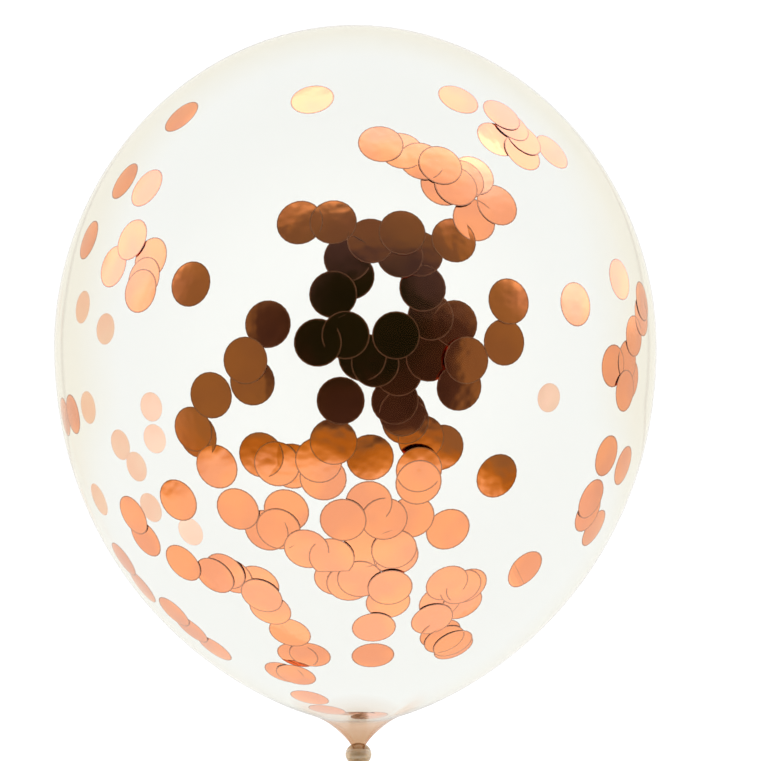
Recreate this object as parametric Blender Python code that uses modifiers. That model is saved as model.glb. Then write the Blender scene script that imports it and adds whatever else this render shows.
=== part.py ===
"""A clear latex balloon, blown up round, tied in its own neck and lying on its side.

It is one dipped rubber moulding: a round body, a short neck drawn in to the knot, the knot
itself, and the tail with its rolled lip. The air sealed in it is modelled as solid.

Units are metres. The balloon lies along Y, with its crown towards +Y and its tail towards -Y.
The origin is the middle of the small flat spot that it rests on, with +Z straight up.
"""

import math

import bpy
import numpy as np
from mathutils import Vector
from mathutils.geometry import interpolate_bezier

# The body, measured from its widest circle.
BODY_RADIUS = 0.1525
CROWN_HEIGHT = 0.163
CROWN_FULLNESS = 1.96
BELLY_DEPTH = 0.100
SHOULDER_RADIUS = 0.034
SHOULDER_DROP = 0.186
SHOULDER_SLOPE = math.radians(25.6)
SHOULDER_REACH = 0.061

# The neck, drawn in from the shoulder to the knot.
NECK_LENGTH = 0.0275
NECK_RADIUS = 0.0031
NECK_RUN = 0.0057
NECK_REACH = 0.0168

# The knot: the neck wound round itself, as two crossed turns that bite into it.
WRAP_THICKNESS = 0.0048
WRAP_TILT = math.radians(24)
WRAP_BITE = 0.0010

# The tail below the knot, open at its mouth, with a rolled lip.
TAIL_LENGTH = 0.020
TAIL_RUN = 0.009
TAIL_FLARE = 0.006
MOUTH_RADIUS = 0.0098
MOUTH_DEPTH = 0.013
TAIL_WALL = 0.0010
LIP_THICKNESS = 0.0024
LIP_FROM = math.radians(60)
LIP_TO = math.radians(-200)

# What it rests on.
FLAT_DEPTH = 0.0018

# How finely the turned shapes are divided.
BODY_SIDES = 72
TAIL_SIDES = 28
WRAP_SIDES = 10
CROWN_STEPS = 19
TAPER_STEPS = 14
NECK_STEPS = 7
TAIL_STEPS = 8
LIP_STEPS = 6

# What follows from the dimensions.
AXIS_HEIGHT = BODY_RADIUS - FLAT_DEPTH
LYING = (-math.pi / 2, 0, 0)
NECK_DROP = SHOULDER_DROP + NECK_LENGTH
WRAP_RADIUS = NECK_RADIUS + WRAP_THICKNESS / 2 - WRAP_BITE
KNOT_DROP = NECK_DROP + WRAP_THICKNESS / 2
STRAND_DROP = KNOT_DROP + WRAP_THICKNESS / 4
TAIL_DROP = KNOT_DROP + WRAP_THICKNESS / 2
TAIL_STRAND = NECK_RADIUS - WRAP_BITE / 2
TAIL_END = TAIL_DROP + TAIL_LENGTH

LATEX_COLOUR = (0.90, 0.87, 0.81, 1.0)
LATEX_ROUGHNESS = 0.12
LATEX_SEEN = 0.25
MERGE_DISTANCE = 0.00005
SMOOTH_ANGLE = math.radians(40)


def clear_scene():
    """Removes the objects that the scene starts with."""
    for item in list(bpy.data.objects):
        bpy.data.objects.remove(item)


def new_collection(name):
    collection = bpy.data.collections.new(name)
    bpy.context.scene.collection.children.link(collection)
    return collection


def latex_material():
    """Clear latex: smooth, faintly milky and mostly see-through."""
    material = bpy.data.materials.new("clear_latex")
    material.use_nodes = True
    shader = material.node_tree.nodes["Principled BSDF"]
    shader.inputs["Base Color"].default_value = LATEX_COLOUR
    shader.inputs["Roughness"].default_value = LATEX_ROUGHNESS
    shader.inputs["Metallic"].default_value = 0.0
    shader.inputs["Alpha"].default_value = LATEX_SEEN
    material.surface_render_method = "BLENDED"
    return material


def bezier(start, start_handle, end_handle, end, steps):
    """The points of one curved stretch as (radius, height), without its first point."""
    ends = [Vector((*point, 0)) for point in (start, start_handle, end_handle, end)]
    return [(point.x, point.y) for point in interpolate_bezier(*ends, steps + 1)][1:]


def crown_points():
    """From the pole of the crown down to the widest circle, a little squarer or fuller than a dome."""
    points = []
    for angle in np.linspace(0, math.pi / 2, CROWN_STEPS + 1):
        radius = BODY_RADIUS * math.sin(angle) ** (2 / CROWN_FULLNESS)
        height = CROWN_HEIGHT * max(math.cos(angle), 0) ** (2 / CROWN_FULLNESS)
        points.append((radius, height))
    points[-1] = (BODY_RADIUS, 0.0)
    return points


def body_profile():
    """The crown, the taper to the shoulder, and the neck that is drawn in to the knot."""
    slope = Vector((math.cos(SHOULDER_SLOPE), math.sin(SHOULDER_SLOPE)))
    shoulder = Vector((SHOULDER_RADIUS, -SHOULDER_DROP))
    neck = (NECK_RADIUS, -NECK_DROP)
    taper = bezier(
        (BODY_RADIUS, 0),
        (BODY_RADIUS, -BELLY_DEPTH),
        shoulder + slope * SHOULDER_REACH,
        shoulder,
        TAPER_STEPS,
    )
    drawn_in = bezier(
        shoulder,
        shoulder - slope * NECK_REACH,
        (NECK_RADIUS, NECK_RUN - NECK_DROP),
        neck,
        NECK_STEPS,
    )
    strand_end = [(NECK_RADIUS, -STRAND_DROP), (0.0, -STRAND_DROP)]
    return crown_points() + taper + drawn_in + strand_end


def lip_points():
    """The rolled lip, round from the tail's outer face, under the rim and up to its inner face."""
    bead = LIP_THICKNESS / 2
    centre = (MOUTH_RADIUS - bead, bead - TAIL_END)
    angles = np.linspace(LIP_FROM, LIP_TO, LIP_STEPS + 1)
    return [(centre[0] + bead * math.cos(a), centre[1] + bead * math.sin(a)) for a in angles]


def tail_profile():
    """The tail: its strand from inside the knot, its flare, the rolled lip and the open mouth."""
    lip = lip_points()
    strand = [(0.0, -NECK_DROP), (TAIL_STRAND, -NECK_DROP), (TAIL_STRAND, -TAIL_DROP)]
    flare = bezier(
        strand[-1],
        (TAIL_STRAND, -TAIL_DROP - TAIL_RUN),
        (lip[0][0], lip[0][1] + TAIL_FLARE),
        lip[0],
        TAIL_STEPS,
    )
    mouth_top = MOUTH_DEPTH - TAIL_END
    inside = [(radius - TAIL_WALL, height) for radius, height in reversed(flare[:-1])]
    mouth = [point for point in inside if point[0] > TAIL_WALL and point[1] < mouth_top]
    return strand + flare + lip[1:] + mouth + [(0.0, mouth_top)]


def turned(name, profile, sides, collection):
    """A closed shape turned about its own upright axis, laid down at the balloon's height."""
    mesh = bpy.data.meshes.new(name)
    points = [(radius, 0.0, height) for radius, height in profile]
    mesh.from_pydata(points, [(i, i + 1) for i in range(len(points) - 1)], [])
    shape = bpy.data.objects.new(name, mesh)
    collection.objects.link(shape)
    spin = shape.modifiers.new("turned", "SCREW")
    spin.steps = sides
    spin.render_steps = sides
    spin.use_merge_vertices = True
    spin.merge_threshold = MERGE_DISTANCE
    spin.use_smooth_shade = True
    shape.rotation_euler = LYING
    shape.location.z = AXIS_HEIGHT
    return shape


def keep_in(shape, name, collection):
    """Names a new primitive and moves it to its collection."""
    shape.name = name
    for other in list(shape.users_collection):
        other.objects.unlink(shape)
    collection.objects.link(shape)
    return shape


def wrap(name, tilt, collection):
    """One turn of the knot: a fat ring round the neck, tilted across the other turn."""
    bpy.ops.mesh.primitive_torus_add(
        major_radius=WRAP_RADIUS,
        minor_radius=WRAP_THICKNESS / 2,
        major_segments=TAIL_SIDES,
        minor_segments=WRAP_SIDES,
        location=(0, -KNOT_DROP, AXIS_HEIGHT),
        rotation=(LYING[0] + tilt, 0, 0),
    )
    bpy.context.object.data.shade_smooth()
    return keep_in(bpy.context.object, name, collection)


def ground_block(collection):
    """Takes the flat spot off the belly: a block whose top face is the ground."""
    size = 2 * BODY_RADIUS
    bpy.ops.mesh.primitive_cube_add(size=size, location=(0, 0, -size / 2))
    return keep_in(bpy.context.object, "ground", collection)


def combine(body, other, operation):
    step = body.modifiers.new(other.name, "BOOLEAN")
    step.operation = operation
    step.solver = "EXACT"
    step.object = other
    other.hide_render = True
    other.display_type = "WIRE"


def build_balloon():
    parts = new_collection("confetti_balloon")
    helpers = new_collection("cutters")
    balloon = turned("balloon", body_profile(), BODY_SIDES, parts)
    balloon.data.materials.append(latex_material())
    combine(balloon, turned("tail", tail_profile(), TAIL_SIDES, helpers), "UNION")
    combine(balloon, wrap("first_turn", WRAP_TILT, helpers), "UNION")
    combine(balloon, wrap("second_turn", -WRAP_TILT, helpers), "UNION")
    combine(balloon, ground_block(helpers), "DIFFERENCE")
    balloon.data.shade_smooth()
    balloon.data.set_sharp_from_angle(angle=SMOOTH_ANGLE)


clear_scene()
build_balloon()
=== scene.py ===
import math
import random

import bmesh
import bpy
from mathutils import Matrix, Vector
from mathutils.geometry import interpolate_bezier


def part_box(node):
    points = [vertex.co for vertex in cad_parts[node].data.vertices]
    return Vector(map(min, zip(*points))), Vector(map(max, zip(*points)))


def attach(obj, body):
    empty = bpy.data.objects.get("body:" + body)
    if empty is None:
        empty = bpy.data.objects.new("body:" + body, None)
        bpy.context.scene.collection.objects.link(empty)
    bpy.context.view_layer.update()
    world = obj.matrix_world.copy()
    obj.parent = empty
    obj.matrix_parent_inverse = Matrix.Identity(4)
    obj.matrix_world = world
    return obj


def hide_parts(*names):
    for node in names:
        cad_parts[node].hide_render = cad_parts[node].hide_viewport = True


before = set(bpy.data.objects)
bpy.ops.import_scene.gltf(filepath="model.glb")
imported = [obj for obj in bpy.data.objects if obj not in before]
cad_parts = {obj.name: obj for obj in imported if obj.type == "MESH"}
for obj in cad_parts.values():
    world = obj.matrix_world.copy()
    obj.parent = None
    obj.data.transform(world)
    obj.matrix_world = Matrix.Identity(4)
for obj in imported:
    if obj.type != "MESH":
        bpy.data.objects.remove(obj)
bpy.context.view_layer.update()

# The camera looks straight down on the balloon from about half a metre, as the photograph
# does. Places that are read off the photograph are pixels of its frame, x to the right and
# y down, and VIEW_PIXEL is the one that the camera points at.
IMAGE_SIZE = 761
VIEW_PIXEL = (355.3, 346.0)
FOCAL_PIXELS = 980
SENSOR_WIDTH = 36
CAMERA_ABOVE_AXIS = 0.5185
CAMERA_TURN = math.radians(-0.45)
CLIP_START = 0.01

low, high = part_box("balloon")
BODY_RADIUS = high.x
AXIS_HEIGHT = high.z - BODY_RADIUS

bpy.ops.object.select_all(action="DESELECT")
bpy.ops.object.camera_add(
    location=(0, 0, AXIS_HEIGHT + CAMERA_ABOVE_AXIS), rotation=(0, 0, CAMERA_TURN)
)
camera = bpy.context.object
camera.data.sensor_width = SENSOR_WIDTH
camera.data.lens = FOCAL_PIXELS / IMAGE_SIZE * SENSOR_WIDTH
camera.data.shift_x = 0.5 - VIEW_PIXEL[0] / IMAGE_SIZE
camera.data.shift_y = VIEW_PIXEL[1] / IMAGE_SIZE - 0.5
camera.data.clip_start = CLIP_START
bpy.context.scene.camera = camera

# The skin is the balloon itself: clear latex, dipped in one piece on a former and blown up. It
# is turned from its outline, pressed flat where it rests, pleated where the thick neck is drawn
# in to the knot, and given a wall, drawn 0.3 mm thick, which is more than it really is.
CROWN_HEIGHT = high.y
CROWN_FULLNESS = 1.96
BELLY_DEPTH = 0.100
SHOULDER_RADIUS = 0.034
SHOULDER_DROP = 0.186
SHOULDER_SLOPE = math.radians(25.6)
SHOULDER_REACH = 0.061
NECK_RADIUS = 0.0031
NECK_DROP = 0.2135
NECK_RUN = 0.0057
NECK_REACH = 0.0168
SKIN_END = 0.2165
SKIN_WALL = 0.0003
SKIN_SIDES = 180
MERGE_DISTANCE = 0.00002
CROWN_STEPS = 44
TAPER_STEPS = 40
NECK_STEPS = 26
PLEAT_COUNT = 13
PLEAT_FROM = -0.186
PLEAT_DEPTH = 0.10
PLEAT_UNEVENNESS = 1.3
PLEAT_BUNCHES = 3
PLEAT_DEEPENING = 1.5
LATEX_GLOSS = 0.03
THICK_GLOSS = 0.16
LATEX_IOR = 1.03
LATEX_CLEAR = (0.907, 0.915, 0.899, 1)
LATEX_CREAM = (0.893, 0.878, 0.815, 1)
LATEX_LINE = (0.77, 0.735, 0.68, 1)
LATEX_EDGE = (0.86, 0.84, 0.80, 1)
LATEX_THICK = (0.82, 0.64, 0.50, 1)
LATEX_THICK_EDGE = (0.84, 0.64, 0.50, 1)
# The latex's tints, from where it is seen face-on to where it is seen edge-on.
EDGE_TINTS = [
    (0.0, LATEX_CLEAR), (0.38, LATEX_CLEAR), (0.64, LATEX_CREAM), (0.755, LATEX_CREAM),
    (0.785, LATEX_LINE), (0.815, LATEX_CREAM), (0.93, LATEX_CREAM), (1.0, LATEX_EDGE),
]
THICK_TINTS = [(0.0, LATEX_CLEAR), (0.55, LATEX_CLEAR), (0.85, LATEX_THICK_EDGE)]
# Where the latex changes along the balloon: distances from its widest circle, plus towards the
# crown and minus towards the neck. The shifts move the tints further out at both ends.
CROWN_BETWEEN = (0.03, 0.12)
CROWN_SHIFT = -0.15
TAPER_BETWEEN = (-0.03, -0.09)
TAPER_SHIFT = -0.30
CLOUDY_BETWEEN = (-0.168, -0.186)
DRAWN_IN_BETWEEN = (-0.184, -0.190)
THICK_BETWEEN = (-0.192, -0.206)


def curve_points(start, start_handle, end_handle, end, steps):
    """One curved stretch of an outline, as (radius, height), without its first point."""
    ends = [Vector((*point, 0)) for point in (start, start_handle, end_handle, end)]
    return [(point.x, point.y) for point in interpolate_bezier(*ends, steps + 1)][1:]


def crown_outline():
    """The round end, from its tip to the widest circle, a little leaner than an ellipse."""
    points = []
    for step in range(CROWN_STEPS + 1):
        angle = math.pi / 2 * step / CROWN_STEPS
        radius = BODY_RADIUS * math.sin(angle) ** (2 / CROWN_FULLNESS)
        height = CROWN_HEIGHT * max(math.cos(angle), 0) ** (2 / CROWN_FULLNESS)
        points.append((radius, height))
    points[-1] = (BODY_RADIUS, 0.0)
    return points


def skin_outline():
    """The crown, the taper to the shoulder, and the neck that is drawn in to the knot."""
    slope = Vector((math.cos(SHOULDER_SLOPE), math.sin(SHOULDER_SLOPE)))
    shoulder = Vector((SHOULDER_RADIUS, -SHOULDER_DROP))
    taper = curve_points(
        (BODY_RADIUS, 0),
        (BODY_RADIUS, -BELLY_DEPTH),
        shoulder + slope * SHOULDER_REACH,
        shoulder,
        TAPER_STEPS,
    )
    neck = curve_points(
        shoulder,
        shoulder - slope * NECK_REACH,
        (NECK_RADIUS, NECK_RUN - NECK_DROP),
        (NECK_RADIUS, -NECK_DROP),
        NECK_STEPS,
    )
    return crown_outline() + taper + neck + [(NECK_RADIUS, -SKIN_END), (0.0, -SKIN_END)]


def turned(name, outline, sides):
    """A shape spun about the balloon's own axis, from one point extruded down its outline."""
    bpy.ops.object.select_all(action="DESELECT")
    bpy.ops.mesh.primitive_plane_add(size=0.001)
    piece = bpy.context.object
    piece.name = name
    bpy.ops.object.mode_set(mode="EDIT")
    bpy.ops.mesh.select_all(action="SELECT")
    bpy.ops.mesh.merge(type="CENTER")
    points = [Vector((radius, height, AXIS_HEIGHT)) for radius, height in outline]
    bpy.ops.transform.translate(value=points[0])
    for last, point in zip(points, points[1:]):
        bpy.ops.mesh.extrude_region_move(TRANSFORM_OT_translate={"value": point - last})
    bpy.ops.mesh.select_all(action="SELECT")
    bpy.ops.mesh.spin(
        steps=sides, angle=math.tau, center=(0, 0, AXIS_HEIGHT), axis=(0, 1, 0)
    )
    bpy.ops.mesh.select_all(action="SELECT")
    bpy.ops.mesh.remove_doubles(threshold=MERGE_DISTANCE)
    bpy.ops.mesh.normals_make_consistent(inside=False)
    bpy.ops.object.mode_set(mode="OBJECT")
    return piece


def pick(piece, chosen):
    """Selects the points of a piece, in edit mode, that the test chooses."""
    shape = bmesh.from_edit_mesh(piece.data)
    for point in shape.verts:
        point.select = chosen(point.co)
    shape.select_flush(True)
    bmesh.update_edit_mesh(piece.data)


def finish_mesh(piece, modifier_type, **settings):
    """Adds a modifier to a piece and applies it."""
    bpy.ops.object.select_all(action="DESELECT")
    bpy.context.view_layer.objects.active = piece
    piece.select_set(True)
    step = piece.modifiers.new(modifier_type.lower(), modifier_type)
    for setting, value in settings.items():
        setattr(step, setting, value)
    bpy.ops.object.modifier_apply(modifier=step.name)


def pleated(piece, count, start, end, depth):
    """Draws a turned piece into pleats that deepen from one height to another."""
    for point in piece.data.vertices:
        share = (point.co.y - start) / (end - start)
        if share <= 0:
            continue
        around = math.atan2(point.co.z - AXIS_HEIGHT, point.co.x)
        uneven = PLEAT_UNEVENNESS * math.sin(PLEAT_BUNCHES * around)
        wave = math.cos(count * around + uneven) - 1
        factor = 1 + depth * min(share, 1) ** PLEAT_DEEPENING * wave / 2
        point.co.x *= factor
        point.co.z = AXIS_HEIGHT + (point.co.z - AXIS_HEIGHT) * factor


def new_material(name):
    """A new material: its nodes, its links and its shader."""
    material = bpy.data.materials.new(name)
    material.use_nodes = True
    tree = material.node_tree
    return material, tree.nodes, tree.links, tree.nodes["Principled BSDF"]


def ramp(nodes, stops):
    """A colour ramp with these (position, colour) stops."""
    node = nodes.new("ShaderNodeValToRGB")
    marks = node.color_ramp.elements
    marks[0].position, marks[0].color = stops[0]
    marks[1].position, marks[1].color = stops[-1]
    for position, colour in stops[1:-1]:
        marks.new(position).color = colour
    return node


def map_range(nodes, links, value, start, end, smooth=False):
    """Carries a value from one range into another, and stops it at both ends."""
    node = nodes.new("ShaderNodeMapRange")
    node.inputs["From Min"].default_value, node.inputs["From Max"].default_value = start
    node.inputs["To Min"].default_value, node.inputs["To Max"].default_value = end
    if smooth:
        node.interpolation_type = "SMOOTHSTEP"
    links.new(value, node.inputs["Value"])
    return node.outputs["Result"]


def feed(links, value, socket):
    """Gives a socket what it takes: another node's output, or a plain value."""
    if isinstance(value, bpy.types.NodeSocket):
        links.new(value, socket)
    else:
        socket.default_value = value


def reckon(nodes, links, operation, *values):
    """One sum, of other nodes' outputs or plain numbers."""
    node = nodes.new("ShaderNodeMath")
    node.operation = operation
    for value, socket in zip(values, node.inputs):
        feed(links, value, socket)
    return node.outputs["Value"]


def mix(nodes, links, share, first, second, blend="MIX"):
    """Two colours mixed. They and the share are other nodes' outputs or plain values."""
    node = nodes.new("ShaderNodeMix")
    node.data_type = "RGBA"
    node.blend_type = blend
    feed(links, share, node.inputs["Factor"])
    feed(links, first, node.inputs["A"])
    feed(links, second, node.inputs["B"])
    return node.outputs["Result"]


def latex_material():
    """Clear latex, with a thin dark line near its outline, and tan where it is thick."""
    material, nodes, links, shader = new_material("clear latex")
    shader.inputs["IOR"].default_value = LATEX_IOR
    shader.inputs["Transmission Weight"].default_value = 1.0
    place = nodes.new("ShaderNodeTexCoord")
    apart = nodes.new("ShaderNodeSeparateXYZ")
    links.new(place.outputs["Object"], apart.inputs["Vector"])
    along = apart.outputs["Y"]
    weight = nodes.new("ShaderNodeLayerWeight")
    weight.inputs["Blend"].default_value = 0.5
    facing = weight.outputs["Facing"]
    crown = map_range(nodes, links, along, CROWN_BETWEEN, (0, CROWN_SHIFT))
    taper = map_range(nodes, links, along, TAPER_BETWEEN, (0, TAPER_SHIFT))
    ends = reckon(nodes, links, "ADD", crown, taper)
    edge = ramp(nodes, EDGE_TINTS)
    links.new(reckon(nodes, links, "ADD", facing, ends), edge.inputs["Fac"])
    thick_edge = ramp(nodes, THICK_TINTS)
    links.new(facing, thick_edge.inputs["Fac"])
    drawn_in = map_range(nodes, links, along, DRAWN_IN_BETWEEN, (0, 1))
    tint = mix(nodes, links, drawn_in, edge.outputs["Color"], thick_edge.outputs["Color"])
    thick = map_range(nodes, links, along, THICK_BETWEEN, (0, 1))
    tanned = mix(nodes, links, thick, tint, LATEX_THICK, "MULTIPLY")
    links.new(tanned, shader.inputs["Base Color"])
    gloss = map_range(nodes, links, along, CLOUDY_BETWEEN, (LATEX_GLOSS, THICK_GLOSS))
    links.new(gloss, shader.inputs["Roughness"])
    return material


skin = turned("balloon_skin", skin_outline(), SKIN_SIDES)
bpy.ops.object.mode_set(mode="EDIT")
pick(skin, lambda place: place.z < 0)
bpy.ops.transform.resize(value=(1, 1, 0), center_override=(0, 0, 0))
bpy.ops.object.mode_set(mode="OBJECT")
pleated(skin, PLEAT_COUNT, PLEAT_FROM, -NECK_DROP, PLEAT_DEPTH)
finish_mesh(skin, "SOLIDIFY", thickness=SKIN_WALL, offset=-1)
bpy.ops.object.shade_smooth()
clear_latex = latex_material()
skin.data.materials.append(clear_latex)
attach(skin, "root")
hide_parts("balloon")

# The knot is the balloon's own neck, wound round itself and pulled tight: two crossed turns
# of thick latex, rolled into one lump, which has lost its clearness and turned amber.
TURN_RADIUS = 0.0045
TURN_THICKNESS = 0.0048
TURN_TILT = math.radians(24)
KNOT_DROP = 0.2159
TURN_SEGMENTS = 48
TURN_SIDES = 20
KNOT_GRAIN = 0.0004
KNOT_SOFTENING = 0.5
KNOT_ROUNDS = 6
AMBER = (0.93, 0.74, 0.50, 1)
AMBER_DEEP = (0.84, 0.60, 0.36, 1)
AMBER_IOR = 1.5
AMBER_GLOSS = 0.22
AMBER_CLEARNESS = 0.35
STREAK_SCALE = 420
STREAK_DETAIL = 3
STREAK_TONES = [(0.3, AMBER_DEEP), (0.7, AMBER)]
STREAK_RELIEF = 0.25
RELIEF_HEIGHT = 0.0004


def knot_turn(tilt):
    """One turn of the neck, tilted across the other."""
    bpy.ops.object.select_all(action="DESELECT")
    bpy.ops.mesh.primitive_torus_add(
        major_radius=TURN_RADIUS,
        minor_radius=TURN_THICKNESS / 2,
        major_segments=TURN_SEGMENTS,
        minor_segments=TURN_SIDES,
        location=(0, -KNOT_DROP, AXIS_HEIGHT),
        rotation=(tilt - math.pi / 2, 0, 0),
    )
    turn = bpy.context.object
    bpy.ops.object.transform_apply(location=True, rotation=True, scale=True)
    return turn


def noise(nodes, links, scale, detail=2):
    """A cloudy pattern that stays put on its piece."""
    place = nodes.new("ShaderNodeTexCoord")
    pattern = nodes.new("ShaderNodeTexNoise")
    pattern.inputs["Scale"].default_value = scale
    pattern.inputs["Detail"].default_value = detail
    links.new(place.outputs["Object"], pattern.inputs["Vector"])
    return pattern.outputs["Fac"]


def emboss(nodes, links, shader, pattern, strength):
    """Raises a pattern a little, as relief."""
    relief = nodes.new("ShaderNodeBump")
    relief.inputs["Strength"].default_value = strength
    relief.inputs["Distance"].default_value = RELIEF_HEIGHT
    links.new(pattern, relief.inputs["Height"])
    links.new(relief.outputs["Normal"], shader.inputs["Normal"])


def amber_material():
    """Thick latex: amber and cloudy, with paler and deeper streaks."""
    material, nodes, links, shader = new_material("amber latex")
    shader.inputs["Roughness"].default_value = AMBER_GLOSS
    shader.inputs["IOR"].default_value = AMBER_IOR
    shader.inputs["Transmission Weight"].default_value = AMBER_CLEARNESS
    streaks = noise(nodes, links, STREAK_SCALE, STREAK_DETAIL)
    tone = ramp(nodes, STREAK_TONES)
    links.new(streaks, tone.inputs["Fac"])
    links.new(tone.outputs["Color"], shader.inputs["Base Color"])
    emboss(nodes, links, shader, streaks, STREAK_RELIEF)
    return material


amber_latex = amber_material()
knot = knot_turn(TURN_TILT)
second_turn = knot_turn(-TURN_TILT)
for turn in (knot, second_turn):
    turn.select_set(True)
bpy.context.view_layer.objects.active = knot
bpy.ops.object.join()
knot.name = "knot"
finish_mesh(knot, "REMESH", mode="VOXEL", voxel_size=KNOT_GRAIN, use_smooth_shade=True)
finish_mesh(knot, "SMOOTH", factor=KNOT_SOFTENING, iterations=KNOT_ROUNDS)
knot.data.materials.append(amber_latex)
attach(knot, "root")

# The tail is the end of the neck beyond the knot. It springs open again to the mouth, which
# has a rolled bead for a lip, and its thin soft wall is left with lengthwise folds.
TAIL_DROP = 0.2183
TAIL_STRAND = 0.0026
TAIL_RUN = 0.009
TAIL_FLARE = 0.006
TAIL_END = -low.y
TAIL_WALL = 0.0008
MOUTH_RADIUS = 0.0098
MOUTH_DEPTH = 0.013
LIP_THICKNESS = 0.0024
LIP_FROM = math.radians(60)
LIP_TO = math.radians(-200)
TAIL_SIDES = 72
TAIL_STEPS = 18
LIP_STEPS = 14
FOLD_COUNT = 7
FOLD_DEPTH = 0.16


def tail_outline():
    """The strand out of the knot, the flare, the rolled lip, and back up inside the mouth."""
    bead = LIP_THICKNESS / 2
    middle = (MOUTH_RADIUS - bead, bead - TAIL_END)
    lip = []
    for step in range(LIP_STEPS + 1):
        angle = LIP_FROM + (LIP_TO - LIP_FROM) * step / LIP_STEPS
        lip.append((middle[0] + bead * math.cos(angle), middle[1] + bead * math.sin(angle)))
    strand = [(0.0, -NECK_DROP), (TAIL_STRAND, -NECK_DROP), (TAIL_STRAND, -TAIL_DROP)]
    flare = curve_points(
        strand[-1],
        (TAIL_STRAND, -TAIL_DROP - TAIL_RUN),
        (lip[0][0], lip[0][1] + TAIL_FLARE),
        lip[0],
        TAIL_STEPS,
    )
    mouth_top = MOUTH_DEPTH - TAIL_END
    inside = [(radius - TAIL_WALL, height) for radius, height in reversed(flare[:-1])]
    mouth = [point for point in inside if point[0] > TAIL_WALL and point[1] < mouth_top]
    return strand + flare + lip[1:] + mouth + [(0.0, mouth_top)]


tail = turned("tail", tail_outline(), TAIL_SIDES)
pleated(tail, FOLD_COUNT, -TAIL_DROP, -TAIL_END, FOLD_DEPTH)
tail.data.materials.append(amber_latex)
bpy.ops.object.select_all(action="DESELECT")
bpy.context.view_layer.objects.active = tail
tail.select_set(True)
bpy.ops.object.shade_smooth()
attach(tail, "root")

# The confetti is punched from rose-gold metallised film, in discs of about 18 mm. They lie
# loose in the balloon, and static holds each one against the inner face of the skin, or
# against the disc that got there first.
DISC_RADIUS = 0.0091
DISC_THICKNESS = 0.00006
DISC_BOW = 0.00025
DISC_SIDES = 24
DISC_GAPS = (0.00009, 0.00012, 0.00020)
DISC_CLEARANCE = 0.00045
DISC_SWAY = math.radians(0.3)
FOIL = (0.99, 0.375, 0.165, 1)
FOIL_DEEP = (0.88, 0.33, 0.17, 1)
# The rim colour is painted shade: a dark outline round each disc, and along a crease.
FOIL_SHADED_RIM = (0.50, 0.21, 0.12, 1)
RIM_METAL = 0.6
FOIL_GLOSS = 0.08
FOIL_CRINKLE = 0.5
CRINKLE_SCALE = 90
CRINKLE_GLOSS = (0.6, 1.5)
PATCH_SCALE = 45
PATCH_BETWEEN = (0.40, 0.60)
UV_MIDDLE = (0.5, 0.5, 0)
RIM_BAND = (0.46, 0.487)
CUT_ANGLE = math.radians(40)
RAY_STEP = SKIN_WALL / 20
DICE_SEED = 12
# The far discs' pale colours are painted haze, the light of the skin's veil over them painted
# into the foil. Their rim is painted shade, paler too.
HAZED_BACK_FOIL = (1.0, 0.68, 0.49, 1)
HAZED_BACK_DEEP = (1.0, 0.63, 0.45, 1)
HAZED_BACK_SHADED_RIM = (0.95, 0.60, 0.44, 1)
BACK_GLOSS = 0.42

# The discs against the near side of the skin, by their middles in the photograph. Of two
# that overlap, the one nearer the skin comes first.
CROWN_LEFT = [(180.5, 115.5), (123.5, 180.2), (145.5, 187), (87.5, 239.5), (189.6, 283.6)]
LEFT_GROUP = [(112, 266), (130.5, 239), (139, 290.5), (142, 278), (148.5, 258)]
LEFT_EDGE = [(71.5, 414.5), (63.7, 417)]
CROWN_RIGHT = [
    (312, 98), (459, 98), (381, 142.7), (441, 164), (422, 159.5), (402, 149), (457, 184.5),
    (443.5, 184), (464.5, 177.5), (475, 173), (499, 203), (476, 218),
    (502.5, 113.5), (512, 123.5), (525, 137), (524, 151), (554, 150), (498, 137),
]
RIGHT_GROUP = [
    (577, 304), (621, 279), (643.5, 301), (643, 316), (636, 336), (626.5, 391), (629.5, 361),
    (615.5, 366), (633, 380), (608, 456.3), (624.5, 466), (592.5, 499.5), (589.5, 513.5),
    (595.5, 529), (497.8, 476.6), (525.8, 570.2),
]
MIDDLE_TOP = [
    (333, 221.2), (299.3, 221.5), (402.5, 232), (371, 240), (455.5, 238.5), (400.5, 254),
    (421, 252), (424, 287), (333, 294), (347.5, 257.5), (350.5, 275.5),
]
MIDDLE = [
    (396.3, 335.3), (467.3, 360.4), (432.5, 316), (457.5, 323.2), (460, 387.5), (431, 358),
    (317.5, 342.5), (345.5, 335), (362.5, 357), (375.5, 363.5), (400, 373),
    (509.8, 301), (505.5, 342.2), (244.5, 360.5), (251.5, 382), (267, 324),
]
MIDDLE_LOW = [
    (340.5, 401), (396, 402), (404, 414.5), (407, 423), (333.3, 442.5), (419, 483.2),
    (419.5, 470.5), (423, 440.5), (444, 450), (343, 521), (384.7, 520), (369, 504),
    (370.3, 458.7), (318.3, 461.3), (322.7, 479.6), (276, 465), (260, 456), (291.5, 467.5),
]
LOW_MIDDLE = [
    (331.5, 559), (306, 550.5), (374, 629), (390.3, 589), (388.3, 603.5), (360, 581),
    (349, 585.3), (336.5, 580), (394.5, 551), (412.3, 518.3), (449, 531), (396.3, 557.5),
    (366, 549), (373, 657),
]
LOW_RIGHT = [
    (453.5, 645), (445, 641), (432.7, 621), (441, 635.5), (454.5, 649.5),
    (447.7, 584.4), (461.5, 588.5), (467.5, 587.5), (463, 605.5), (441, 604),
]
LEFT_LOW = [
    (210, 395.5), (191, 430), (195.5, 436.5), (215.3, 467.5), (176, 501.7), (132, 516),
    (144, 539.3), (237, 510), (277.6, 530.6), (265.5, 532), (285.5, 512),
]
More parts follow.
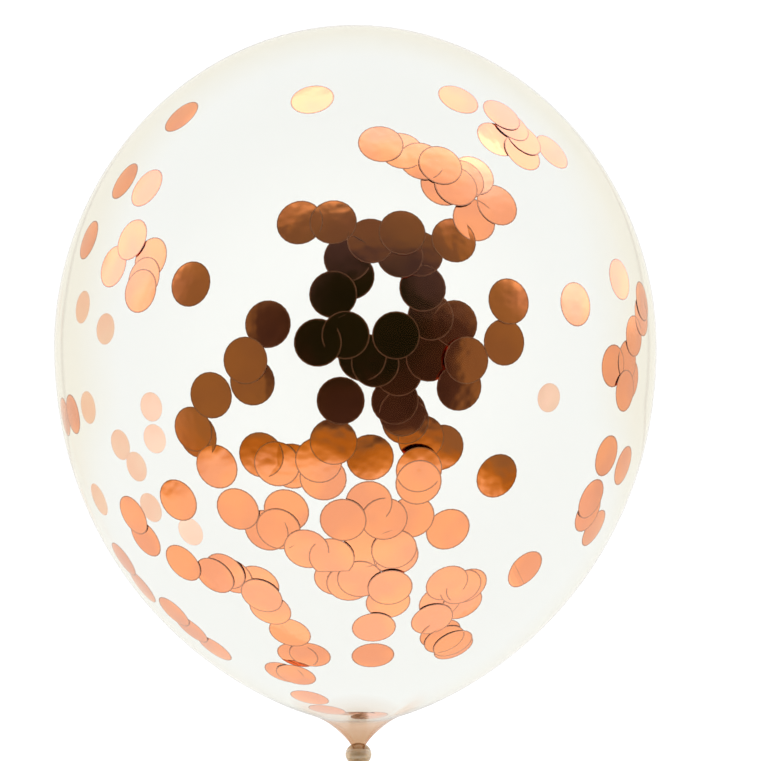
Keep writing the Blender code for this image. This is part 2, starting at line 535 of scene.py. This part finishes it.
LOW_LEFT = [
    (182, 564), (213.5, 577), (224, 573), (260.5, 598), (231, 578), (257, 585.5),
    (269, 612), (288.7, 636), (309, 659), (295.5, 676.5), (283.5, 674.5), (296.5, 659.5),
    (309.3, 699.3), (327, 711.5), (357, 717.3), (369.5, 718),
]
LOW_LEFT_EDGE = [(173, 613), (190.5, 630.5), (213.5, 650), (122.5, 560), (141.5, 588)]
NEAR_SIDE = [
    CROWN_LEFT, LEFT_GROUP, LEFT_EDGE, CROWN_RIGHT, RIGHT_GROUP, MIDDLE_TOP, MIDDLE,
    MIDDLE_LOW, LOW_MIDDLE, LOW_RIGHT, LEFT_LOW, LOW_LEFT, LOW_LEFT_EDGE,
]
# The discs against the far side, seen through the balloon.
FAR_SIDE = [
    (104.5, 328.8), (81.5, 306.9), (87, 407.7), (150.5, 407), (119.5, 445), (135.5, 467),
    (154, 439), (98, 500), (150, 508), (190, 532), (549.5, 397.8),
]
# The two discs that are creased: how far from the middle, as a share of the radius, how far
# the rest is turned over, and which way the crease runs.
CREASED = {
    (331.5, 559): (-0.72, math.radians(-178), math.radians(15)),
    (525.8, 570.2): (-0.35, math.radians(6), math.radians(-104)),
}
# The discs that don't lie flat against the wall: how far each one leans towards the neck or,
# where it is minus, towards the crown.
LEANING = {
    (191, 430): math.radians(3.2),
    (195.5, 436.5): math.radians(3.2),
    (370.3, 458.7): math.radians(-2.2),
    (176, 501.7): math.radians(-4),
    (357, 717.3): math.radians(4),
}


def reckon_vector(nodes, links, operation, *values):
    """One sum of vectors, of which a length or a distance is a single value."""
    node = nodes.new("ShaderNodeVectorMath")
    node.operation = operation
    for value, socket in zip(values, node.inputs):
        feed(links, value, socket)
    return node.outputs["Value" if operation in ("LENGTH", "DISTANCE") else "Vector"]


def foil_material(name, foil, deeper, shaded_rim_colour, dullness):
    """Rose-gold film: a near mirror, a little crinkled, with painted shade along its rim, where
    it is darker and less metallic.
    """
    material, nodes, links, shader = new_material(name)
    flat = nodes.new("ShaderNodeUVMap")
    flat.uv_map = "UVMap"
    from_middle = reckon_vector(nodes, links, "DISTANCE", flat.outputs["UV"], UV_MIDDLE)
    at_rim = map_range(nodes, links, from_middle, RIM_BAND, (0, 1))
    tone = ramp(nodes, [(PATCH_BETWEEN[0], deeper), (PATCH_BETWEEN[1], foil)])
    links.new(noise(nodes, links, PATCH_SCALE), tone.inputs["Fac"])
    # The darker colour at the rim is painted shade round the disc's outline.
    colour = mix(nodes, links, at_rim, tone.outputs["Color"], shaded_rim_colour)
    links.new(colour, shader.inputs["Base Color"])
    metal = map_range(nodes, links, at_rim, (0, 1), (1, RIM_METAL))
    links.new(metal, shader.inputs["Metallic"])
    crinkle = noise(nodes, links, CRINKLE_SCALE)
    emboss(nodes, links, shader, crinkle, FOIL_CRINKLE)
    glossiest, dullest = [dullness * share for share in CRINKLE_GLOSS]
    gloss = map_range(nodes, links, crinkle, (0, 1), (glossiest, dullest))
    links.new(gloss, shader.inputs["Roughness"])
    return material


def paint_crease_shade(disc, line):
    """Paints the rim's dark shade along the crease of a disc, on the side of its middle."""
    shape = bmesh.from_edit_mesh(disc.data)
    flat = shape.loops.layers.uv.active
    for face in shape.faces:
        if face.calc_center_median().y < line:
            continue
        for corner in face.loops:
            place = corner.vert.co
            if abs(place.y - line) < MERGE_DISTANCE:
                corner[flat].uv = place.xy.normalized() / 2 + Vector(UV_MIDDLE).xy
    bmesh.update_edit_mesh(disc.data)


def punched_disc(crease=None):
    """A disc to copy the others from: bowed like the wall it clings to, or else creased."""
    bpy.ops.object.select_all(action="DESELECT")
    bpy.ops.mesh.primitive_circle_add(
        vertices=DISC_SIDES, radius=DISC_RADIUS, fill_type="TRIFAN", calc_uvs=True
    )
    disc = bpy.context.object
    bpy.ops.object.mode_set(mode="EDIT")
    pick(disc, lambda place: place.length < DISC_RADIUS / 2)
    bpy.ops.transform.translate(value=(0, 0, DISC_BOW))
    if crease:
        share, fold, _ = crease
        line = share * DISC_RADIUS
        bpy.ops.mesh.select_all(action="SELECT")
        bpy.ops.mesh.bisect(plane_co=(0, line, 0), plane_no=(0, 1, 0))
        paint_crease_shade(disc, line)
        pick(disc, lambda place: place.y < line - MERGE_DISTANCE)
        bpy.ops.transform.rotate(
            value=fold, orient_axis="X", center_override=(0, line, 0)
        )
    bpy.ops.object.mode_set(mode="OBJECT")
    finish_mesh(disc, "SOLIDIFY", thickness=DISC_THICKNESS, offset=0)
    bpy.ops.object.shade_smooth_by_angle(angle=CUT_ANGLE)
    return disc


def wall_place(pixel, far):
    """Where the camera's line through a pixel meets the skin, and the way out there."""
    across = (pixel[0] - VIEW_PIXEL[0]) / FOCAL_PIXELS
    up = (VIEW_PIXEL[1] - pixel[1]) / FOCAL_PIXELS
    aim = Matrix.Rotation(CAMERA_TURN, 3, "Z") @ Vector((across, up, -1)).normalized()
    start = camera.location.copy()
    met = []
    while True:
        found, place, facing, _ = skin.ray_cast(start, aim)
        if not found:
            break
        met.append((place, facing))
        start = place + aim * RAY_STEP
    return met[-1] if far else met[0]


def lay_disc(number, pattern, place):
    """A copy of a disc, moved to its place."""
    disc = bpy.data.objects.new(f"confetti_{number:03d}", pattern.data.copy())
    bpy.context.scene.collection.objects.link(disc)
    disc.data.transform(place)
    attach(disc, "root")


def scatter(pixels, far, first_number, dice):
    """Copies the disc to each place, every one under those it overlaps that came before."""
    laid = []
    for pixel in pixels:
        place, out = wall_place(pixel, far)
        under = [sink for other, sink in laid if (other - place).length < 2 * DISC_RADIUS]
        sink = max(under, default=SKIN_WALL + DISC_CLEARANCE - DISC_GAPS[0])
        sink += dice.choice(DISC_GAPS) if under else DISC_GAPS[0]
        laid.append((place, sink))
        from_axis = Vector((place.x, 0, place.z - AXIS_HEIGHT))
        bend = max(out.dot(from_axis), 0) / from_axis.length_squared
        sink += max(bend * DISC_RADIUS ** 2 / 2 - DISC_BOW, 0)
        sway = Matrix.Rotation(dice.uniform(-DISC_SWAY, DISC_SWAY), 4, "X")
        spin = Matrix.Rotation(dice.uniform(0, math.tau), 4, "Z")
        lean = LEANING.get(pixel, 0)
        sink += DISC_RADIUS * math.sin(abs(lean))
        pattern = far_disc if far else creased_discs.get(pixel, punched)
        if pixel in CREASED:
            spin = Matrix.Rotation(CREASED[pixel][2], 4, "Z")
        face = out.to_track_quat("Z", "Y").to_matrix().to_4x4()
        turn = face @ Matrix.Rotation(lean, 4, "X") @ spin @ sway
        matrix = Matrix.Translation(place - out * sink) @ turn
        lay_disc(first_number + len(laid) - 1, pattern, matrix)
    return first_number + len(laid)


bpy.context.view_layer.update()
dice = random.Random(DICE_SEED)
rose_gold = foil_material("rose-gold foil", FOIL, FOIL_DEEP, FOIL_SHADED_RIM, FOIL_GLOSS)
hazed_dull_back = foil_material("foil, duller back, painted haze", HAZED_BACK_FOIL, HAZED_BACK_DEEP, HAZED_BACK_SHADED_RIM, BACK_GLOSS)
punched = punched_disc()
punched.data.materials.append(rose_gold)
far_disc = punched_disc()
far_disc.data.materials.append(hazed_dull_back)
creased_discs = {}
for pixel, crease in CREASED.items():
    creased_discs[pixel] = punched_disc(crease)
    creased_discs[pixel].data.materials.append(rose_gold)
near_pixels = [pixel for group in NEAR_SIDE for pixel in group]
next_number = scatter(near_pixels, False, 1, dice)
scatter(FAR_SIDE, True, next_number, dice)
for pattern in [punched, far_disc, *creased_discs.values()]:
    bpy.data.objects.remove(pattern)

# The floor is a plain white table top that glows evenly round the balloon. Light is painted on
# it: more, and bluish, further off behind the crown, where the window is, a little in front,
# and a little in its middle.
FLOOR_SIZE = 8
FLOOR_THICKNESS = 0.02
FLOOR_DROP = 0.0002
FLOOR_WHITE = (0.25, 0.25, 0.25, 1)
FLOOR_DULLNESS = 0.9
FLOOR_GLOW = 0.96
FLOOR_GLOW_COLOUR = (1, 1, 1, 1)
# Painted light on the floor: a bluish pool behind the crown, a brighter strip in front and a
# brighter middle.
FLOOR_PAINTED_WINDOW_LIGHT = 1.95
FLOOR_PAINTED_WINDOW_COLOUR = (0.66, 0.75, 1.0, 1)
FLOOR_PAINTED_FRONT_LIGHT = 0.16
FLOOR_PAINTED_MIDDLE_LIGHT = 0.08
# Where each of these painted lights comes up, in metres from the middle of the floor.
BEHIND_BETWEEN = (0.0, 0.12)
AWAY_BETWEEN = (0.45, 0.75)
NEARER_ON_RIGHT = 0.3
FRONT_BETWEEN = (-0.30, -0.42)
MIDDLE_BETWEEN = (0.05, 0.17)


def floor_material():
    """A white table top that glows by itself, so that next to nothing on it lies in shadow,
    with painted light behind the crown, in front and in its middle.
    """
    material, nodes, links, shader = new_material("white table")
    shader.inputs["Base Color"].default_value = FLOOR_WHITE
    shader.inputs["Roughness"].default_value = FLOOR_DULLNESS
    shader.inputs["Specular IOR Level"].default_value = 0.0
    place = nodes.new("ShaderNodeTexCoord")
    away = reckon_vector(nodes, links, "LENGTH", place.outputs["Object"])
    apart = nodes.new("ShaderNodeSeparateXYZ")
    links.new(place.outputs["Object"], apart.inputs["Vector"])
    right = reckon(nodes, links, "MULTIPLY", apart.outputs["X"], NEARER_ON_RIGHT)
    reach = reckon(nodes, links, "ADD", away, right)
    distant = map_range(nodes, links, reach, AWAY_BETWEEN, (0, 1), True)
    behind = map_range(nodes, links, apart.outputs["Y"], BEHIND_BETWEEN, (0, 1), True)
    # The painted pool of window light, far off behind the crown.
    painted_window_light = reckon(nodes, links, "MULTIPLY", distant, behind)
    middle = map_range(nodes, links, away, MIDDLE_BETWEEN, (FLOOR_PAINTED_MIDDLE_LIGHT, 0), True)
    front = map_range(nodes, links, apart.outputs["Y"], FRONT_BETWEEN, (0, FLOOR_PAINTED_FRONT_LIGHT), True)
    glow = reckon(nodes, links, "MULTIPLY", painted_window_light, FLOOR_PAINTED_WINDOW_LIGHT)
    for more in (FLOOR_GLOW, middle, front):
        glow = reckon(nodes, links, "ADD", glow, more)
    links.new(glow, shader.inputs["Emission Strength"])
    colour = mix(nodes, links, painted_window_light, FLOOR_GLOW_COLOUR, FLOOR_PAINTED_WINDOW_COLOUR)
    links.new(colour, shader.inputs["Emission Color"])
    return material


bpy.ops.object.select_all(action="DESELECT")
bpy.ops.mesh.primitive_plane_add(size=FLOOR_SIZE, location=(0, 0, 0))
floor = bpy.context.object
floor.name = "floor"
bpy.ops.object.mode_set(mode="EDIT")
bpy.ops.mesh.extrude_region_move(TRANSFORM_OT_translate={"value": (0, 0, -FLOOR_THICKNESS)})
bpy.ops.mesh.select_all(action="SELECT")
bpy.ops.mesh.normals_make_consistent(inside=False)
bpy.ops.transform.translate(value=(0, 0, -FLOOR_DROP))
bpy.ops.object.mode_set(mode="OBJECT")
floor.data.materials.append(floor_material())

# The light is a plain white studio, bright all round and brightest behind the crown, with a
# dark brown hood overhead round the camera. The foil mirrors the hood where it faces up.
STUDIO_LIGHT = 1.3
STUDIO_WHITE = (1.0, 1.0, 1.0, 1)
STUDIO_WARM = (0.95, 0.80, 0.58, 1)
HOOD_GOLD = (0.66, 0.45, 0.13, 1)
HOOD_ORANGE = (0.43, 0.25, 0.02, 1)
HOOD_BROWN = (0.285, 0.235, 0.12, 1)
HOOD_PALE = (0.46, 0.37, 0.25, 1)
HOOD_INNER = (0.185, 0.155, 0.09, 1)
CORE_SIDE = (0.065, 0.048, 0.045, 1)
CORE_DARK = (0.036, 0.026, 0.020, 1)
CORE_BLACK = (0.010, 0.016, 0.008, 1)
CORE_MAUVE = (0.062, 0.066, 0.088, 1)
CORE_GREY = (0.165, 0.155, 0.150, 1)
CORE_ABOVE = (0.185, 0.160, 0.120, 1)
# The hood and its dark core are laid out on a flat map of the sky, with the zenith at (0, 0),
# the horizon about 1 away, and the crown's side up. The map droops at both sides and ripples.
MAP_LIFT = 1.02
DROOP = 1.6
DROOP_ASIDE = 0.06
DROOP_TO = 0.60
DROOP_POWER = 4
RIPPLE = 0.08
RIPPLE_SCALE = 4
RIPPLE_DETAIL = 3
HOOD_CENTRE = (0.0, 0.078)
HOOD_HALF = (0.72, 0.33)
HOOD_REACH = 1.4
CORE_CENTRE = (0.03, 0.10)
CORE_HALF = (0.36, 0.32)
# The tones from the middle of each outwards. The second list takes over further up the map.
HOOD_TONES = [
    (0.0, HOOD_INNER), (0.60, HOOD_BROWN), (0.66, HOOD_ORANGE), (0.715, HOOD_GOLD),
    (0.745, STUDIO_WARM), (0.78, STUDIO_WHITE), (1.0, STUDIO_WHITE),
]
HOOD_TONES_ABOVE = [
    (0.0, HOOD_INNER), (0.62, HOOD_BROWN), (0.70, HOOD_PALE), (0.75, STUDIO_WARM),
    (0.80, STUDIO_WHITE), (1.0, STUDIO_WHITE),
]
HOOD_TURNS = (-0.15, 0.0)
CORE_TONES = [
    (0.0, CORE_BLACK), (0.40, CORE_BLACK), (0.60, CORE_DARK), (0.88, CORE_SIDE),
    (0.95, HOOD_INNER), (1.0, STUDIO_WHITE),
]
CORE_TONES_ABOVE = [
    (0.0, CORE_BLACK), (0.30, CORE_BLACK), (0.46, CORE_MAUVE), (0.56, CORE_MAUVE),
    (0.70, CORE_GREY), (0.92, CORE_ABOVE), (1.0, STUDIO_WHITE),
]
CORE_TURNS = (0.10, 0.16)
# The window is a bluish light low down behind the crown, with a paler glow from its sill and
# another from in front. Its edges are parts of a direction: towards the crown, upwards, right.
WINDOW_LIGHT = 2.2
WINDOW_COLOUR = (0.66, 0.80, 1.0, 1)
WINDOW_COLOURS_BY = 0.4
WINDOW_BEHIND = (0.62, 0.80)
WINDOW_DOWN = (0.45, 0.15)
WINDOW_ACROSS = (0.6, 1.2)
SILL_BEHIND = (0.0, 0.30)
SILL_DOWN = (0.22, 0.08)
SILL_ACROSS = (0.40, 1.0)
FRONT_LIGHT = 0.15
FRONT_FROM = (-0.72, -0.88)


def sky_map(nodes, links, way):
    """A direction's rippled place on the flat map, and how far up the map it is."""
    lifted = reckon(nodes, links, "ADD", way.outputs["Z"], MAP_LIFT)
    map_x = reckon(nodes, links, "DIVIDE", way.outputs["X"], lifted)
    map_y = reckon(nodes, links, "DIVIDE", way.outputs["Y"], lifted)
    aside = reckon(nodes, links, "ABSOLUTE", reckon(nodes, links, "ADD", map_x, DROOP_ASIDE))
    aside = reckon(nodes, links, "MINIMUM", aside, DROOP_TO)
    bend = reckon(nodes, links, "POWER", aside, DROOP_POWER)
    map_y = reckon(nodes, links, "ADD", map_y, reckon(nodes, links, "MULTIPLY", bend, DROOP))
    flat = nodes.new("ShaderNodeCombineXYZ")
    links.new(map_x, flat.inputs["X"])
    links.new(map_y, flat.inputs["Y"])
    place = flat.outputs["Vector"]
    ripple = nodes.new("ShaderNodeTexNoise")
    ripple.inputs["Scale"].default_value = RIPPLE_SCALE
    ripple.inputs["Detail"].default_value = RIPPLE_DETAIL
    links.new(place, ripple.inputs["Vector"])
    size = (RIPPLE, RIPPLE, 0)
    place = reckon_vector(nodes, links, "MULTIPLY_ADD", ripple.outputs["Color"], size, place)
    return place, map_y


def soft_box(nodes, links, place, centre, half):
    """How far a place is from the middle of a soft-cornered box: 1 on its edge."""
    middle = (centre[0] + RIPPLE / 2, centre[1] + RIPPLE / 2, 0)
    moved = reckon_vector(nodes, links, "SUBTRACT", place, middle)
    sized = reckon_vector(nodes, links, "MULTIPLY", moved, (1 / half[0], 1 / half[1], 0))
    squared = reckon_vector(nodes, links, "MULTIPLY", sized, sized)
    return reckon(nodes, links, "SQRT", reckon_vector(nodes, links, "LENGTH", squared))


def tones(nodes, links, outwards, map_y, stops, stops_above, turns):
    """The colour so far out, by one list of tones below and by the other above."""
    lower = ramp(nodes, stops)
    upper = ramp(nodes, stops_above)
    links.new(outwards, lower.inputs["Fac"])
    links.new(outwards, upper.inputs["Fac"])
    above = map_range(nodes, links, map_y, turns, (0, 1))
    return mix(nodes, links, above, lower.outputs["Color"], upper.outputs["Color"])


def hood_colour(nodes, links, way):
    """The hood, darkened by its core, out to the studio's white."""
    place, map_y = sky_map(nodes, links, way)
    hood = soft_box(nodes, links, place, HOOD_CENTRE, HOOD_HALF)
    core = soft_box(nodes, links, place, CORE_CENTRE, CORE_HALF)
    outwards = map_range(nodes, links, hood, (0, HOOD_REACH), (0, 1))
    room = tones(nodes, links, outwards, map_y, HOOD_TONES, HOOD_TONES_ABOVE, HOOD_TURNS)
    shade = tones(nodes, links, core, map_y, CORE_TONES, CORE_TONES_ABOVE, CORE_TURNS)
    return mix(nodes, links, 1, room, shade, "DARKEN")


def patch_behind(nodes, links, way, behind, down, across):
    """A soft-edged patch of light behind the crown, stronger on the right."""
    backwards = map_range(nodes, links, way.outputs["Y"], behind, (0, 1), True)
    level = map_range(nodes, links, way.outputs["Z"], down, (0, 1), True)
    sideways = map_range(nodes, links, way.outputs["X"], (-1, 1), across)
    patch = reckon(nodes, links, "MULTIPLY", level, sideways)
    return reckon(nodes, links, "MULTIPLY", backwards, patch)


def window_share(nodes, links, way):
    """How strong the window's light is in each direction."""
    window = patch_behind(nodes, links, way, WINDOW_BEHIND, WINDOW_DOWN, WINDOW_ACROSS)
    sill = patch_behind(nodes, links, way, SILL_BEHIND, SILL_DOWN, SILL_ACROSS)
    front = map_range(nodes, links, way.outputs["Y"], FRONT_FROM, (0, FRONT_LIGHT), True)
    window = reckon(nodes, links, "MAXIMUM", window, sill)
    return reckon(nodes, links, "MAXIMUM", window, front)


world = bpy.data.worlds.new("studio")
bpy.context.scene.world = world
world.use_nodes = True
nodes, links = world.node_tree.nodes, world.node_tree.links
background = nodes["Background"]
directions = nodes.new("ShaderNodeTexCoord")
way = nodes.new("ShaderNodeSeparateXYZ")
links.new(directions.outputs["Generated"], way.inputs["Vector"])
window = window_share(nodes, links, way)
bluish = map_range(nodes, links, window, (0, WINDOW_COLOURS_BY), (0, 1))
colour = mix(nodes, links, bluish, hood_colour(nodes, links, way), WINDOW_COLOUR)
links.new(colour, background.inputs["Color"])
strength = reckon(nodes, links, "MULTIPLY", window, WINDOW_LIGHT)
strength = reckon(nodes, links, "ADD", strength, 1)
strength = reckon(nodes, links, "MULTIPLY", strength, STUDIO_LIGHT)
links.new(strength, background.inputs["Strength"])
bpy.context.scene.view_settings.view_transform = "Standard"
